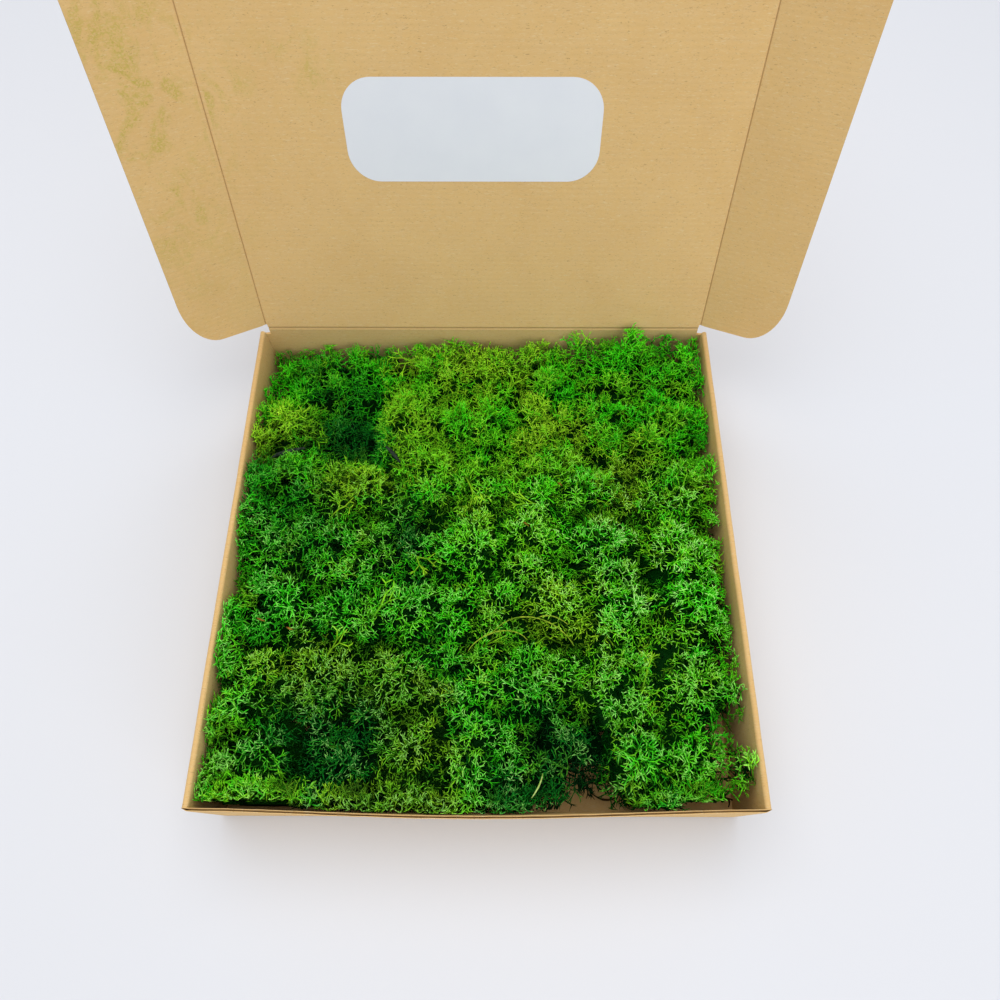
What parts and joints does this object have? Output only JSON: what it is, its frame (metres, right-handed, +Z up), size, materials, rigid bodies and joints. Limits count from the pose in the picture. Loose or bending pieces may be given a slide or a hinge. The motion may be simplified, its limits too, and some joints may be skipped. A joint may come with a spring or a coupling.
{
  "type": "box of preserved lichen",
  "caption": "Flat square corrugated box with a hinged lid and tuck flaps, standing open and filled with tangled tufts of dyed preserved reindeer lichen.",
  "frame": {"origin": "middle of the tray's underside, where the box stands on the table", "axes": "+X to the right seen from the front, +Y from the front wall to the hinge side, +Z up"},
  "size_m": [0.3758, 0.383, 0.3943],
  "materials": {
    "kraft_board": "matte",
    "label_paper": "satin",
    "lichen_teal": "matte",
    "lichen_deep": "matte",
    "lichen_emerald": "matte",
    "lichen_bright": "matte",
    "lichen_lime": "matte",
    "lichen_olive": "matte"
  },
  "bodies": {
    "tray": {"tray": "kraft_board", "tuft_bright_01": "lichen_bright", "tuft_bright_02": "lichen_bright", "tuft_bright_03": "lichen_bright", "tuft_bright_04": "lichen_bright", "tuft_bright_05": "lichen_bright", "tuft_bright_06": "lichen_bright", "tuft_bright_07": "lichen_bright", "tuft_bright_08": "lichen_bright", "tuft_bright_09": "lichen_bright", "tuft_bright_10": "lichen_bright", "tuft_bright_11": "lichen_bright", "tuft_bright_12": "lichen_bright", "tuft_bright_13": "lichen_bright", "tuft_deep_01": "lichen_deep", "tuft_deep_02": "lichen_deep", "tuft_deep_03": "lichen_deep", "tuft_deep_04": "lichen_deep", "tuft_deep_05": "lichen_deep", "tuft_deep_06": "lichen_deep", "tuft_deep_07": "lichen_deep", "tuft_emerald_01": "lichen_emerald", "tuft_emerald_02": "lichen_emerald", "tuft_emerald_03": "lichen_emerald", "tuft_emerald_04": "lichen_emerald", "tuft_emerald_05": "lichen_emerald", "tuft_emerald_06": "lichen_emerald", "tuft_emerald_07": "lichen_emerald", "tuft_emerald_08": "lichen_emerald", "tuft_emerald_09": "lichen_emerald", "tuft_emerald_10": "lichen_emerald", "tuft_emerald_11": "lichen_emerald", "tuft_emerald_12": "lichen_emerald", "tuft_lime_01": "lichen_lime", "tuft_lime_02": "lichen_lime", "tuft_lime_03": "lichen_lime", "tuft_lime_04": "lichen_lime", "tuft_lime_05": "lichen_lime", "tuft_lime_06": "lichen_lime", "tuft_lime_07": "lichen_lime", "tuft_olive_01": "lichen_olive", "tuft_olive_02": "lichen_olive", "tuft_olive_03": "lichen_olive", "tuft_olive_04": "lichen_olive", "tuft_olive_05": "lichen_olive", "tuft_olive_06": "lichen_olive", "tuft_teal_01": "lichen_teal", "tuft_teal_02": "lichen_teal", "tuft_teal_03": "lichen_teal", "tuft_teal_04": "lichen_teal"},
    "lid": {"lid_panel": "kraft_board", "label": "label_paper"},
    "dust_flap_left": {"dust_flap_left": "kraft_board"},
    "dust_flap_right": {"dust_flap_right": "kraft_board"},
    "front_flap": {"front_flap": "kraft_board"}
  },
  "joints": [
    {"name": "lid_hinge", "type": "hinge", "parent": "tray", "child": "lid", "pos_m": [0, 0.1492, 0.0653], "axis": [1, 0, 0], "range_deg": [-74.4, 105.6]},
    {"name": "dust_flap_left_fold", "type": "hinge", "parent": "lid", "child": "dust_flap_left", "pos_m": [-0.1446, 0.1492, 0.0653], "axis": [0, 0.2689, 0.9632], "range_deg": [-31.6, 58.4]},
    {"name": "dust_flap_right_fold", "type": "hinge", "parent": "lid", "child": "dust_flap_right", "pos_m": [0.1446, 0.1492, 0.0653], "axis": [0, -0.2689, -0.9632], "range_deg": [-25.9, 64.1]},
    {"name": "front_flap_fold", "type": "hinge", "parent": "lid", "child": "front_flap", "pos_m": [0, 0.2288, 0.3504], "axis": [1, 0, 0], "range_deg": [-20, 70]}
  ]
}
